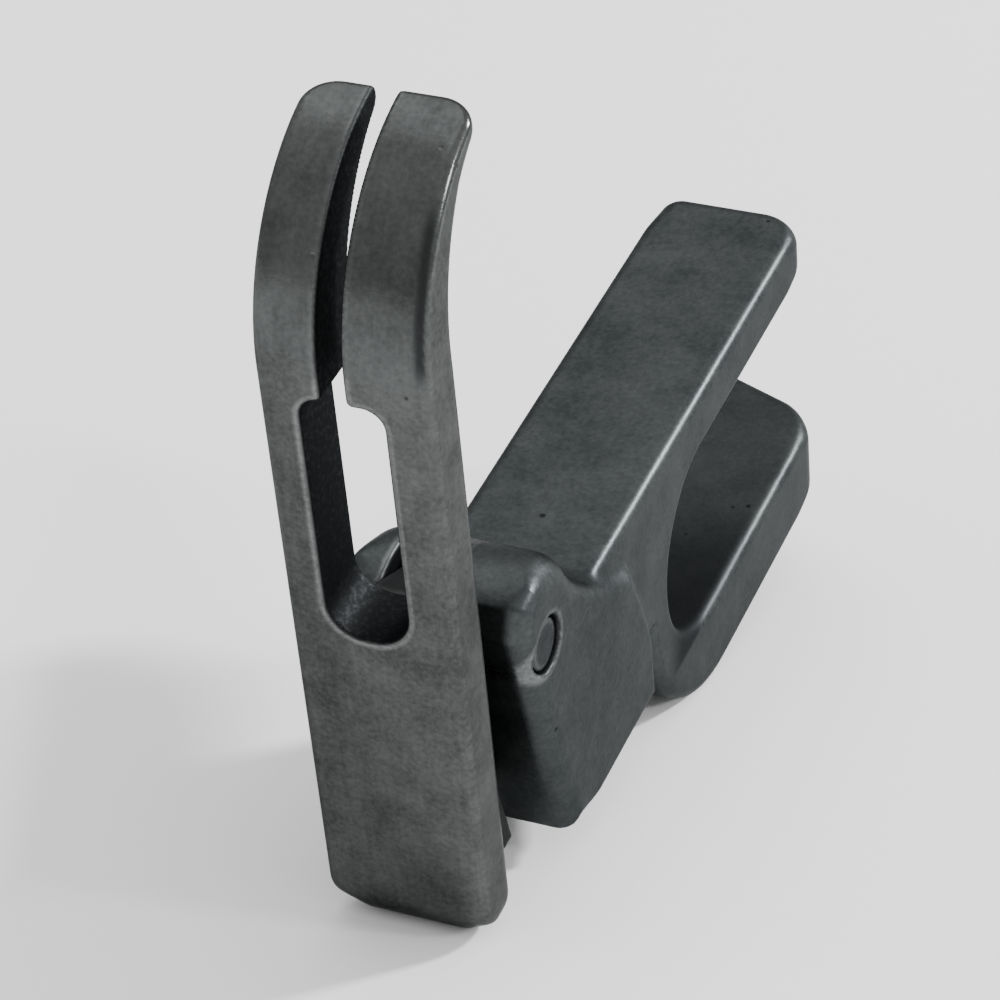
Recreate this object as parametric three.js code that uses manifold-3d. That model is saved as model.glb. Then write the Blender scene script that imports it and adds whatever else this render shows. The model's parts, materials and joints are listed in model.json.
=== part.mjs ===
// Hinged presser foot of an industrial sewing machine, millimetres, +Z up.
// The foot is drawn upright, as it works on the machine: X across, Y towards the heel, Z up the shank,
// Z = 0 on the face of the sole that presses the cloth. The finished group is then laid on its back,
// where it rests on the rounded heel of the sole and on the round back of the shank.
import * as THREE from "three";
import { mergeVertices } from "three/addons/utils/BufferGeometryUtils.js";
import Module from "manifold-3d";

// Sole blade
const SOLE_WIDTH = 6.35;
const SOLE_HEEL_Y = 11.0;
const SOLE_HEEL_ROUND = 1.7; // lower edge of the heel
const SOLE_HEEL_CORNER = 1.5; // corners of the heel in plan
const SOLE_THICKNESS = 2.75; // along the middle
const SOLE_SIDE = 0.44; // height of the upright side wall, as a share of the thickness
const SOLE_CROWN = 2.6; // exponent of the crowned top, 2 is an ellipse
const SOLE_EDGE = 0.35;
const TOE_START_Y = -13.9;
const TOE_RADIUS = 7.5;
const TOE_SWEEP = THREE.MathUtils.degToRad(82);
const TOE_TAPER = 1.8; // exponent of the fall in thickness round the toe
const TOE_TIP_THICKNESS = 0.75;
const TOE_CORNER = 1.3; // outer corners of the two toes

// Openings in the sole
const NEEDLE_SLOT_OFFSET = -0.4; // both openings lie a little to the left of the middle
const NEEDLE_SLOT_WIDTH = 0.85;
const WINDOW_OFFSET = -0.18;
const WINDOW_WIDTH = 3.0;
const WINDOW_ROUND = 1.35; // corners of its end towards the heel
const WINDOW_HEEL_Y = -3.0;
const WINDOW_TOE_Y = -13.0;
const WINDOW_SHOULDER = 0.75;

// Hinge
const PIN_Y = 1.3;
const PIN_Z = 6.2;
const PIN_RADIUS = 1.05;
const PIN_SINK = 0.15; // each end lies this far inside its cheek
const PIN_FIT = 0.03; // radial, pin in the cheeks
const PIN_RUNNING_FIT = 0.06; // radial, pin in the tongue

// Tongue, the lug of the sole that stands between the cheeks
const TONGUE_WIDTH = 2.1;
const TONGUE_OFFSET = -0.8; // the clevis slot is cut a little to the left of the middle
const TONGUE_SIDE_GAP = 0.1;
const TONGUE_EYE = 2.25;
const TONGUE_FRONT_Y = -2.6;
const TONGUE_BACK_Y = 10.1;
const TONGUE_BACK_Z = 7.1;
const TONGUE_BACK_ROUND = 0.8;

// Pad beside the tongue that stops the heel from rising into the block
const PAD_WIDTH = 3.8;
const PAD_FRONT_Y = 3.6;
const PAD_BACK_Y = 10.3;
const PAD_GAP = 1.5; // height left under the block

// Clevis block at the lower end of the shank
const BLOCK_WIDTH = 7.2;
const NOSE_RADIUS = 3.2;
const NOSE_FACET = 0.8; // flat between the nose and the underside
const NOSE_CORNER = 1.3; // upright corners of the nose in plan
const NOTCH_RADIUS = 9.5; // hollow between the nose and the cheek tip, tangent to the nose
const NOTCH_BEARING = THREE.MathUtils.degToRad(116.5); // of its centre, seen from the pin
const CHEEK_TIP_Y = 4.5;
const BLOCK_TOP_Z = 15.7;
const BLOCK_BACK_Y = 11.55;
const BLOCK_CORNER = 0.5;
const BLOCK_EDGE = 0.25;
const UNDERSIDE_WALL = 0.55; // metal below the pin bore
const UNDERSIDE_SLOPE = THREE.MathUtils.degToRad(14.3); // the clearance over the sole opens to the heel
const EYE_GAP = 0.25; // round the tongue's eye
const MOUTH_Z = 7.3; // upper lip of the clevis slot in the nose
const ROOF_Z = 10.2; // roof of the clevis slot behind the pin
const ROOF_START_Y = 5.2;
const ROOF_BEARING = THREE.MathUtils.degToRad(80); // where the roof leaves the clearance of the eye

// Shank
const SHANK_WIDTH = 6.25;
const PLATE_FRONT_Y = 2.5;
const PLATE_THICKNESS = 2.6;
const PLATE_TOP_Z = 35.95;
const FORK_GAP = 8.1;
const FORK_FLOOR_Z = 18.8;
const ARM_THICKNESS = 3.85;
const ARM_TOP_LEFT_Z = 39.1;
const ARM_TOP_RIGHT_Z = 36.6;
const BACK_RADIUS = 7.2; // round back of the shank below the arm
const BACK_CENTRE_Z = 24.05;
const SHANK_EDGE = 0.45;
const TOP_CORNER_LEFT = 1.0; // of both prongs, seen from the front
const TOP_CORNER_RIGHT = 1.8;
const TOP_ROUND = 0.9; // rounding of the fork's top edges in side view

// Leaf spring over the tongue
const LEAF_WIDTH = 1.7;
const LEAF_THICKNESS = 0.25;
const LEAF_GAP = 0.12; // to the roof and to the tongue
const LEAF_FRONT_Y = 5.6;
const LEAF_BACK_Y = 10.6;

const ROUND_SEGMENTS = 24; // points on an arc
const EDGE_STEPS = 4; // points on an arc of the blade's section
const LOFT_STEPS = 16; // sections round the toe
const TIP_STEPS = 6; // sections over the rounded tip
const BEVEL_STEPS = 3; // on a rounded long edge
const SAME_POINT = 1e-3; // points nearer than this are one point of an outline
const SAME_VERTEX = 1e-4; // and of a mesh
const TIP_SHARE = 0.02; // of its thickness, left at the very tip of the toes
const MARGIN = 2; // how far a cutting solid runs past what it cuts

const wasm = await Module();
wasm.setup();

const SIDE_VIEW = new THREE.Matrix4().makeBasis(
  new THREE.Vector3(0, 1, 0),
  new THREE.Vector3(0, 0, 1),
  new THREE.Vector3(1, 0, 0),
);
const FRONT_VIEW = new THREE.Matrix4().makeBasis(
  new THREE.Vector3(1, 0, 0),
  new THREE.Vector3(0, 0, 1),
  new THREE.Vector3(0, -1, 0),
);

function solid(geometry) {
  const bare = geometry.index ? geometry.toNonIndexed() : geometry.clone();
  bare.deleteAttribute("normal");
  bare.deleteAttribute("uv");
  const merged = mergeVertices(bare, SAME_VERTEX);
  return new wasm.Manifold(
    new wasm.Mesh({
      numProp: 3,
      vertProperties: merged.attributes.position.array,
      triVerts: new Uint32Array(merged.index.array),
    }),
  );
}

function geometryOf(body) {
  const mesh = body.getMesh();
  const geometry = new THREE.BufferGeometry();
  geometry.setAttribute("position", new THREE.BufferAttribute(mesh.vertProperties, 3));
  geometry.setIndex(new THREE.BufferAttribute(mesh.triVerts, 1));
  geometry.computeVertexNormals();
  return geometry;
}

// The outline as plain points, without the doubled ones where an arc meets a line.
function traced(outline) {
  const points = outline.getPoints(ROUND_SEGMENTS);
  const apart = (p, i) => p.distanceTo(points[(i + points.length - 1) % points.length]) > SAME_POINT;
  return new THREE.Shape(points.filter(apart));
}

// A side outline, in Y and Z, made as wide as given across X, its long edges rounded.
function acrossX(outline, width, edge = 0) {
  const geometry = new THREE.ExtrudeGeometry(traced(outline), {
    depth: width - 2 * edge,
    bevelEnabled: edge > 0,
    bevelThickness: edge,
    bevelSize: edge,
    bevelOffset: -edge,
    bevelSegments: BEVEL_STEPS,
  });
  geometry.translate(0, 0, edge - width / 2);
  return solid(geometry.applyMatrix4(SIDE_VIEW));
}

// A front outline, in X and Z, from yFront back to yBack.
function alongY(outline, yFront, yBack) {
  const geometry = new THREE.ExtrudeGeometry(traced(outline), {
    depth: yBack - yFront,
    bevelEnabled: false,
  });
  geometry.applyMatrix4(FRONT_VIEW).translate(0, yBack, 0);
  return solid(geometry);
}

// A plan outline, in X and Y, from zLow up to zHigh.
function alongZ(outline, zLow, zHigh) {
  const geometry = new THREE.ExtrudeGeometry(traced(outline), {
    depth: zHigh - zLow,
    bevelEnabled: false,
  });
  return solid(geometry.translate(0, 0, zLow));
}

function box(x0, x1, y0, y1, z0, z1) {
  const geometry = new THREE.BoxGeometry(x1 - x0, y1 - y0, z1 - z0);
  return solid(geometry.translate((x0 + x1) / 2, (y0 + y1) / 2, (z0 + z1) / 2));
}

// A closed skin through equal rings of points, with a fan over each end.
function loft(rings) {
  const count = rings[0].length;
  const index = [];
  for (let ring = 0; ring + 1 < rings.length; ring++) {
    for (let i = 0; i < count; i++) {
      const here = ring * count + i;
      const next = ring * count + ((i + 1) % count);
      index.push(here, next, here + count, next, next + count, here + count);
    }
  }
  const last = (rings.length - 1) * count;
  for (let i = 1; i + 1 < count; i++) {
    index.push(0, i + 1, i, last, last + i, last + i + 1);
  }
  const geometry = new THREE.BufferGeometry().setFromPoints(rings.flat());
  geometry.setIndex(index);
  return solid(geometry);
}

// A round bar along X on the hinge axis.
function hingeBar(radius, length) {
  const geometry = new THREE.CylinderGeometry(radius, radius, length, ROUND_SEGMENTS);
  return solid(geometry.rotateZ(Math.PI / 2).translate(0, PIN_Y, PIN_Z));
}

function rounded(x0, y0, x1, y1, radii) {
  const [lowLeft, lowRight, highRight, highLeft] = radii;
  const outline = new THREE.Shape();
  outline.moveTo(x0 + lowLeft, y0);
  outline.lineTo(x1 - lowRight, y0);
  if (lowRight) outline.absarc(x1 - lowRight, y0 + lowRight, lowRight, -Math.PI / 2, 0, false);
  outline.lineTo(x1, y1 - highRight);
  if (highRight) outline.absarc(x1 - highRight, y1 - highRight, highRight, 0, Math.PI / 2, false);
  outline.lineTo(x0 + highLeft, y1);
  if (highLeft) outline.absarc(x0 + highLeft, y1 - highLeft, highLeft, Math.PI / 2, Math.PI, false);
  outline.lineTo(x0, y0 + lowLeft);
  if (lowLeft) outline.absarc(x0 + lowLeft, y0 + lowLeft, lowLeft, Math.PI, 1.5 * Math.PI, false);
  return outline;
}

function polar(y, z, radius, angle) {
  return new THREE.Vector2(y + radius * Math.cos(angle), z + radius * Math.sin(angle));
}

// ---- sole ----

// One section of the blade: across X, and height above the underside. The top is crowned and runs
// into upright sides, and the lower edges are rounded.
function bladeSection(half, thickness) {
  const side = SOLE_SIDE * thickness;
  const edge = Math.min(SOLE_EDGE, side / 2);
  const outline = new THREE.Shape();
  outline.absarc(half - edge, edge, edge, -Math.PI / 2, 0, false);
  for (let i = 0; i <= ROUND_SEGMENTS; i++) {
    const turn = (Math.PI * i) / ROUND_SEGMENTS;
    const across = Math.sign(Math.cos(turn)) * Math.abs(Math.cos(turn)) ** (2 / SOLE_CROWN);
    const up = Math.sin(turn) ** (2 / SOLE_CROWN);
    outline.lineTo(half * across, side + (thickness - side) * up);
  }
  outline.absarc(edge - half, edge, edge, Math.PI, 1.5 * Math.PI, false);
  return outline.getPoints(EDGE_STEPS);
}

function toeThickness(angle) {
  return SOLE_THICKNESS - (SOLE_THICKNESS - TOE_TIP_THICKNESS) * (angle / TOE_SWEEP) ** TOE_TAPER;
}

// The section at an angle round the toe, placed on the blade's underside. Past the last bit before the
// tip it narrows and thins about its middle, so that the tip and its outer corners are round.
function toeSection(angle) {
  const left = (TOE_SWEEP - angle) * TOE_RADIUS;
  const thickness = toeThickness(angle);
  const roundTip = (radius) => Math.sqrt(Math.max(0, radius ** 2 - Math.max(0, radius - left) ** 2));
  const half = SOLE_WIDTH / 2 - TOE_CORNER + roundTip(TOE_CORNER);
  const blunt = TOE_TIP_THICKNESS / 2;
  const thin = Math.max(TIP_SHARE, left < blunt ? roundTip(blunt) / blunt : 1);
  return bladeSection(SOLE_WIDTH / 2, thickness).map((p) => {
    const height = thickness / 2 + (p.y - thickness / 2) * thin;
    const on = polar(TOE_START_Y, TOE_RADIUS, TOE_RADIUS - height, -Math.PI / 2 - angle);
    return new THREE.Vector3((p.x * half) / (SOLE_WIDTH / 2), on.x, on.y);
  });
}

// The blade from past the heel to the tips of the toes, still without its openings.
function bladeBody() {
  const flat = bladeSection(SOLE_WIDTH / 2, SOLE_THICKNESS);
  const sections = [flat.map((p) => new THREE.Vector3(p.x, SOLE_HEEL_Y + MARGIN, p.y))];
  const tip = Math.max(TOE_CORNER, TOE_TIP_THICKNESS) / TOE_RADIUS;
  for (let i = 0; i < LOFT_STEPS; i++) {
    sections.push(toeSection(((TOE_SWEEP - tip) * i) / LOFT_STEPS));
  }
  for (let i = 0; i <= TIP_STEPS; i++) {
    const turn = (Math.PI / 2) * (i / TIP_STEPS);
    sections.push(toeSection(TOE_SWEEP - tip * (1 - Math.sin(turn))));
  }
  return loft(sections);
}

// The direction square to the ridge, the line that is tangent to the eye and to the round back corner.
function ridgeBearing() {
  const dy = TONGUE_BACK_Y - TONGUE_BACK_ROUND - PIN_Y;
  const dz = TONGUE_BACK_Z - TONGUE_BACK_ROUND - PIN_Z;
  return Math.atan2(dz, dy) + Math.acos((TONGUE_EYE - TONGUE_BACK_ROUND) / Math.hypot(dy, dz));
}

function ridgeZ(y) {
  const bearing = ridgeBearing();
  return PIN_Z + (TONGUE_EYE - (y - PIN_Y) * Math.cos(bearing)) / Math.sin(bearing);
}

function tongueOutline() {
  // The front of the neck is tangent to the eye.
  const dy = PIN_Y - TONGUE_FRONT_Y;
  const dz = PIN_Z - SOLE_THICKNESS;
  const reach = Math.hypot(dy, dz);
  const frontBearing = Math.atan2(dz, dy) + Math.asin(TONGUE_EYE / reach) + Math.PI / 2;
  const ridge = ridgeBearing();
  const cornerY = TONGUE_BACK_Y - TONGUE_BACK_ROUND;
  const cornerZ = TONGUE_BACK_Z - TONGUE_BACK_ROUND;
  const outline = new THREE.Shape();
  const root = SOLE_THICKNESS / 2;
  outline.moveTo(TONGUE_FRONT_Y, root);
  outline.lineTo(TONGUE_BACK_Y, root);
  outline.lineTo(TONGUE_BACK_Y, cornerZ);
  outline.absarc(cornerY, cornerZ, TONGUE_BACK_ROUND, 0, ridge, false);
  outline.absarc(PIN_Y, PIN_Z, TONGUE_EYE, ridge, frontBearing, false);
  outline.lineTo(TONGUE_FRONT_Y, SOLE_THICKNESS);
  return outline;
}

// The wide opening, its toe end drawn in to the width of the needle slot by two round shoulders.
function windowOutline() {
  const x0 = WINDOW_OFFSET - WINDOW_WIDTH / 2;
  const x1 = WINDOW_OFFSET + WINDOW_WIDTH / 2;
  const radii = [WINDOW_SHOULDER, WINDOW_SHOULDER, WINDOW_ROUND, WINDOW_ROUND];
  return rounded(x0, WINDOW_TOE_Y, x1, WINDOW_HEEL_Y, radii);
}

function heelOutline() {
  const toeEnd = TOE_START_Y - TOE_RADIUS - MARGIN;
  const high = TOE_RADIUS + MARGIN;
  return rounded(toeEnd, 0, SOLE_HEEL_Y, high, [0, SOLE_HEEL_ROUND, 0, 0]);
}

function padOutline() {
  const root = SOLE_THICKNESS / 2;
  const outline = new THREE.Shape();
  outline.moveTo(PAD_FRONT_Y, root);
  outline.lineTo(PAD_BACK_Y, root);
  outline.lineTo(PAD_BACK_Y, undersideZ(PAD_BACK_Y) - PAD_GAP);
  outline.lineTo(PAD_FRONT_Y, undersideZ(PAD_FRONT_Y) - PAD_GAP);
  return outline;
}

function soleBody() {
  const half = SOLE_WIDTH / 2;
  const toeEnd = TOE_START_Y - TOE_RADIUS - MARGIN;
  const high = TOE_RADIUS + MARGIN;
  const heel = [0, 0, SOLE_HEEL_CORNER, SOLE_HEEL_CORNER];
  const plan = alongZ(rounded(-half, toeEnd, half, SOLE_HEEL_Y, heel), -MARGIN, high);
  const side = acrossX(heelOutline(), SOLE_WIDTH + MARGIN);
  const needle = box(
    NEEDLE_SLOT_OFFSET - NEEDLE_SLOT_WIDTH / 2,
    NEEDLE_SLOT_OFFSET + NEEDLE_SLOT_WIDTH / 2,
    toeEnd,
    WINDOW_TOE_Y + WINDOW_SHOULDER,
    -MARGIN,
    high,
  );
  const window = alongZ(windowOutline(), -MARGIN, SOLE_THICKNESS + MARGIN);
  const blade = bladeBody().intersect(side).intersect(plan);
  const tongue = acrossX(tongueOutline(), TONGUE_WIDTH).translate([TONGUE_OFFSET, 0, 0]);
  const pad = acrossX(padOutline(), PAD_WIDTH);
  const bore = hingeBar(PIN_RADIUS + PIN_RUNNING_FIT, SOLE_WIDTH);
  return blade.subtract(needle).subtract(window).add(tongue).add(pad).subtract(bore);
}

// ---- shank ----

// The shank in side view, its two prongs running past the heights where they are cut.
function forkOutline() {
  const gapFront = PLATE_FRONT_Y + PLATE_THICKNESS;
  const gapBack = gapFront + FORK_GAP;
  const back = gapBack + ARM_THICKNESS;
  const radius = FORK_GAP / 2;
  const high = Math.max(PLATE_TOP_Z, ARM_TOP_LEFT_Z, ARM_TOP_RIGHT_Z) + MARGIN;
  const centreY = back - BACK_RADIUS;
  const meet = Math.acos((BLOCK_BACK_Y - MARGIN - centreY) / BACK_RADIUS);
  const outline = new THREE.Shape();
  outline.moveTo(PLATE_FRONT_Y, PIN_Z + NOSE_RADIUS);
  outline.lineTo(BLOCK_BACK_Y - MARGIN, PIN_Z + NOSE_RADIUS);
  outline.absarc(centreY, BACK_CENTRE_Z, BACK_RADIUS, -meet, 0, false);
  outline.lineTo(back, high);
  outline.lineTo(gapBack, high);
  outline.lineTo(gapBack, FORK_FLOOR_Z + radius);
  outline.absarc(gapFront + radius, FORK_FLOOR_Z + radius, radius, 0, -Math.PI, true);
  outline.lineTo(gapFront, high);
  outline.lineTo(PLATE_FRONT_Y, high);
  return outline;
}

// Height of the block's underside, the line that passes the bore at the wall's distance.
function undersideZ(y) {
  const wall = PIN_RADIUS + UNDERSIDE_WALL;
  return PIN_Z + (y - PIN_Y) * Math.tan(UNDERSIDE_SLOPE) - wall / Math.cos(UNDERSIDE_SLOPE);
}

function blockOutline() {
  const notch = polar(PIN_Y, PIN_Z, NOSE_RADIUS + NOTCH_RADIUS, NOTCH_BEARING);
  const tipBearing = -Math.acos((CHEEK_TIP_Y - notch.x) / NOTCH_RADIUS);
  const tip = polar(notch.x, notch.y, NOTCH_RADIUS, tipBearing);
  const wall = PIN_RADIUS + UNDERSIDE_WALL;
  const noseEnd = UNDERSIDE_SLOPE - Math.PI / 2 - Math.acos(wall / NOSE_RADIUS);
  const facetStart = polar(PIN_Y, PIN_Z, NOSE_RADIUS, noseEnd).x + NOSE_FACET;
  const corner = BLOCK_BACK_Y - BLOCK_CORNER;
  const outline = new THREE.Shape();
  outline.moveTo(corner, undersideZ(corner));
  const cornerTop = undersideZ(corner) + BLOCK_CORNER;
  outline.quadraticCurveTo(BLOCK_BACK_Y, undersideZ(BLOCK_BACK_Y), BLOCK_BACK_Y, cornerTop);
  outline.lineTo(BLOCK_BACK_Y, BLOCK_TOP_Z);
  outline.lineTo((tip.x + 2 * BLOCK_BACK_Y) / 3, BLOCK_TOP_Z);
  outline.quadraticCurveTo((tip.x + BLOCK_BACK_Y) / 2, BLOCK_TOP_Z, tip.x, tip.y);
  outline.absarc(notch.x, notch.y, NOTCH_RADIUS, tipBearing, NOTCH_BEARING - Math.PI, true);
  const facetBearing = 2 * Math.PI + noseEnd - NOSE_FACET / NOSE_RADIUS;
  outline.absarc(PIN_Y, PIN_Z, NOSE_RADIUS, NOTCH_BEARING, facetBearing, false);
  outline.lineTo(facetStart, undersideZ(facetStart));
  return outline;
}

// What the clevis slot takes out between the cheeks.
function clevisOutline() {
  const eye = TONGUE_EYE + EYE_GAP;
  const lipY = PIN_Y - Math.sqrt(eye * eye - (MOUTH_Z - PIN_Z) ** 2);
  const lip = Math.atan2(MOUTH_Z - PIN_Z, lipY - PIN_Y);
  const outline = new THREE.Shape();
  outline.moveTo(PIN_Y - NOSE_RADIUS - MARGIN, 0);
  outline.lineTo(BLOCK_BACK_Y + MARGIN, 0);
  outline.lineTo(BLOCK_BACK_Y + MARGIN, ROOF_Z);
  outline.lineTo(ROOF_START_Y, ROOF_Z);
  outline.absarc(PIN_Y, PIN_Z, eye, ROOF_BEARING, lip, false);
  outline.lineTo(PIN_Y - NOSE_RADIUS - MARGIN, MOUTH_Z);
  return outline;
}

// A prong seen from the front, its top corners rounded.
function prongFront(top, corners) {
  const half = SHANK_WIDTH / 2;
  return rounded(-half, 0, half, top, [0, 0, ...corners]);
}

// The body that cuts one prong to height: rounded in side view over both top edges.
function prongBody(yFront, yBack, top) {
  const sideView = rounded(yFront, 0, yBack, top, [0, 0, TOP_ROUND, TOP_ROUND]);
  const front = alongY(prongFront(top, [TOP_CORNER_RIGHT, TOP_CORNER_LEFT]), yFront, yBack);
  return acrossX(sideView, SHANK_WIDTH).intersect(front);
}

function shankBody() {
  const gapFront = PLATE_FRONT_Y + PLATE_THICKNESS;
  const gapBack = gapFront + FORK_GAP;
  const floor = FORK_FLOOR_Z + FORK_GAP / 2;
  const body = alongY(prongFront(floor, [0, 0]), PLATE_FRONT_Y, gapBack + ARM_THICKNESS);
  const plate = prongBody(PLATE_FRONT_Y, gapFront, PLATE_TOP_Z);
  const arm = prongBody(gapBack, gapBack + ARM_THICKNESS, ARM_TOP_RIGHT_Z);
  // The arm's top falls from left to right.
  const fall = (ARM_TOP_LEFT_Z - ARM_TOP_RIGHT_Z) / SHANK_WIDTH;
  const slanted = arm.warp((v) => {
    v[2] += v[2] > floor ? (SHANK_WIDTH / 2 - v[0]) * fall : 0;
  });
  const cut = body.add(plate).add(slanted);
  const fork = acrossX(forkOutline(), SHANK_WIDTH, SHANK_EDGE).intersect(cut);
  const nose = PIN_Y - NOSE_RADIUS;
  const corners = [NOSE_CORNER, NOSE_CORNER, BLOCK_CORNER, BLOCK_CORNER];
  const plan = rounded(-BLOCK_WIDTH / 2, nose, BLOCK_WIDTH / 2, BLOCK_BACK_Y, corners);
  const block = acrossX(blockOutline(), BLOCK_WIDTH, BLOCK_EDGE).intersect(alongZ(plan, 0, BLOCK_TOP_Z));
  const slot = acrossX(clevisOutline(), TONGUE_WIDTH + 2 * TONGUE_SIDE_GAP);
  const bore = hingeBar(PIN_RADIUS + PIN_FIT, BLOCK_WIDTH + MARGIN);
  return fork.add(block).subtract(slot.translate([TONGUE_OFFSET, 0, 0])).subtract(bore);
}

// ---- pin and spring ----

function pinBody() {
  return hingeBar(PIN_RADIUS, BLOCK_WIDTH - 2 * PIN_SINK);
}

// A bowed leaf: its two ends bear on the roof of the slot and its belly on the ridge of the tongue.
function leafBody() {
  const high = ROOF_Z - LEAF_GAP;
  const belly = ridgeZ((3 * LEAF_FRONT_Y + LEAF_BACK_Y) / 4) + LEAF_GAP + LEAF_THICKNESS;
  const dip = 2 * belly - high;
  const middle = (LEAF_FRONT_Y + LEAF_BACK_Y) / 2;
  const outline = new THREE.Shape();
  outline.moveTo(LEAF_FRONT_Y, high);
  outline.lineTo(LEAF_FRONT_Y, high - LEAF_THICKNESS);
  outline.quadraticCurveTo(middle, dip - LEAF_THICKNESS, LEAF_BACK_Y, high - LEAF_THICKNESS);
  outline.lineTo(LEAF_BACK_Y, high);
  outline.quadraticCurveTo(middle, dip, LEAF_FRONT_Y, high);
  return acrossX(outline, LEAF_WIDTH).translate([TONGUE_OFFSET, 0, 0]);
}

// ---- assembly ----

function part(name, body, colour, roughness, metalness) {
  const material = new THREE.MeshStandardMaterial({ color: colour, roughness, metalness });
  const mesh = new THREE.Mesh(geometryOf(body), material);
  mesh.name = name;
  return mesh;
}

// The turn about X that lays the foot on the two round faces it rests on: the rounded heel edge and
// the round back of the shank share one tangent plane, which becomes the floor.
function restAngle() {
  const backY = PLATE_FRONT_Y + PLATE_THICKNESS + FORK_GAP + ARM_THICKNESS - BACK_RADIUS;
  const dy = backY - (SOLE_HEEL_Y - SOLE_HEEL_ROUND);
  const dz = BACK_CENTRE_Z - SOLE_HEEL_ROUND;
  const away = Math.acos((SOLE_HEEL_ROUND - BACK_RADIUS) / Math.hypot(dy, dz));
  return -Math.PI / 2 - (Math.atan2(dz, dy) - away);
}

function presserFoot() {
  const upright = new THREE.Group();
  upright.add(part("shank", shankBody(), 0x5c6163, 0.42, 0.95));
  upright.add(part("sole", soleBody(), 0x6b6f70, 0.35, 0.95));
  upright.add(part("hinge_pin", pinBody(), 0x54585b, 0.4, 0.95));
  upright.add(part("hinge_spring", leafBody(), 0x74777a, 0.3, 0.95));
  upright.rotation.x = restAngle();
  const foot = new THREE.Group();
  foot.add(upright);
  const bounds = new THREE.Box3().setFromObject(foot, true);
  const middle = bounds.getCenter(new THREE.Vector3());
  upright.position.set(-middle.x, -middle.y, -bounds.min.z);
  return foot;
}

export default presserFoot();
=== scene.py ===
"""Looks of a hinged presser foot: shank, sole, hinge pin and leaf spring, all in worked steel.

Shapes are described in the foot's own upright frame, in millimetres: X across, Y towards the heel and
Z up the shank, with Z = 0 on the face of the sole. Setting turns that frame into the row frame, in
metres. Each body of metal is a distance field, skinned into a mesh whose edges are truly round.
"""

import json
import logging
import math
from dataclasses import dataclass, field
from enum import Enum
from typing import Callable

import bpy
import numpy as np
from mathutils import Matrix, Vector


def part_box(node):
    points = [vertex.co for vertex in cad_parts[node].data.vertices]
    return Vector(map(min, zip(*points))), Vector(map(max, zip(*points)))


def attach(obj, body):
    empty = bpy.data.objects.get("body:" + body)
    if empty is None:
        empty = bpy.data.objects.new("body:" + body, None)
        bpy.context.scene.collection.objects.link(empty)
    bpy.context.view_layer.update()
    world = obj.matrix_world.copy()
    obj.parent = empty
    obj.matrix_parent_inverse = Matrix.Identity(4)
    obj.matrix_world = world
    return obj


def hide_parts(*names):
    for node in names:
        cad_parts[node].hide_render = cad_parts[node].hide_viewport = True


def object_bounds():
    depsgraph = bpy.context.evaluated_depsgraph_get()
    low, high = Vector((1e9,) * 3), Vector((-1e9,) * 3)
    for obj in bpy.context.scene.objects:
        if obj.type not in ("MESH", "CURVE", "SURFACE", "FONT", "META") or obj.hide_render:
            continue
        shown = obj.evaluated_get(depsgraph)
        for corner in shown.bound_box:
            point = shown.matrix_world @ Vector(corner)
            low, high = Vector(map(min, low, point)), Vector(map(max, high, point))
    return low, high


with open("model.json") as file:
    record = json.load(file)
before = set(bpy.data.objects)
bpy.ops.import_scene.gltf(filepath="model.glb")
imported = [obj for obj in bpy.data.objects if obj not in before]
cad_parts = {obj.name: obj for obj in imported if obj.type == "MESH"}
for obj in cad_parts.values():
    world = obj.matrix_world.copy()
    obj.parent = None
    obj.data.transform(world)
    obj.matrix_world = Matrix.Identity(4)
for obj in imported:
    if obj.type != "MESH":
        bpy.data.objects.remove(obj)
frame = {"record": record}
CAD_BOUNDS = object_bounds()

MM = 0.001
RAMP_STOPS = (0.4, 0.6)
FINE_ARC_DEG = 4.0
NO_LENGTH = 1e-12
NO_SLOPE = 1e-9
LOG = logging.getLogger("presser_foot")

Array = np.ndarray
Field = Callable[[Array, Array, Array], Array]
Triple = tuple[float, float, float]
Socket = bpy.types.NodeSocket
Value = Socket | float | tuple[float, ...]


class Body(Enum):
    """The two bodies that the hinge joins."""

    SHANK = "shank"
    SOLE = "sole"


class Layer(Enum):
    """What is noted on the points of a mesh for its steel to read."""

    WORN = "worn"
    # Painted shade: how hollow a point lies, for darkening inner corners.
    HOLLOW_SHADE = "hollow_shade"
    # Black oxide, painted shade and a painted dark reflection, all blackened alike.
    OXIDE_AND_SHADE = "oxide_and_shade"
    TOEWARD = "toeward"


# ---- distance fields: negative inside the metal, zero on its surface, in millimetres ----


def cut_to(a: Array, b: Array, radius: float | Array) -> Array:
    """Keeps what two fields share, and rounds the edge where their surfaces meet.

    Args:
        a, b: The two fields.
        radius: Radius of the rounded edge.

    Returns:
        The field of the shared metal.
    """
    outside = np.hypot(np.maximum(a + radius, 0), np.maximum(b + radius, 0))
    return np.minimum(np.maximum(a, b), -radius) + outside


def join(a: Array, b: Array, radius: float | Array) -> Array:
    """Joins two fields, with a hollow fillet where they meet.

    Args:
        a, b: The two fields.
        radius: Radius of the fillet.

    Returns:
        The field of both.
    """
    inside = np.hypot(np.maximum(radius - a, 0), np.maximum(radius - b, 0))
    return np.maximum(np.minimum(a, b), radius) - inside


def carve(a: Array, b: Array, radius: float | Array) -> Array:
    """Takes b out of a, and rounds the lips of the cut."""
    return cut_to(a, -b, radius)


def ramp(value: Array, start: float, end: float) -> Array:
    """Goes smoothly from 0 at start to 1 at end."""
    t = np.clip((value - start) / (end - start), 0, 1)
    return t * t * (3 - 2 * t)


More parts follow.
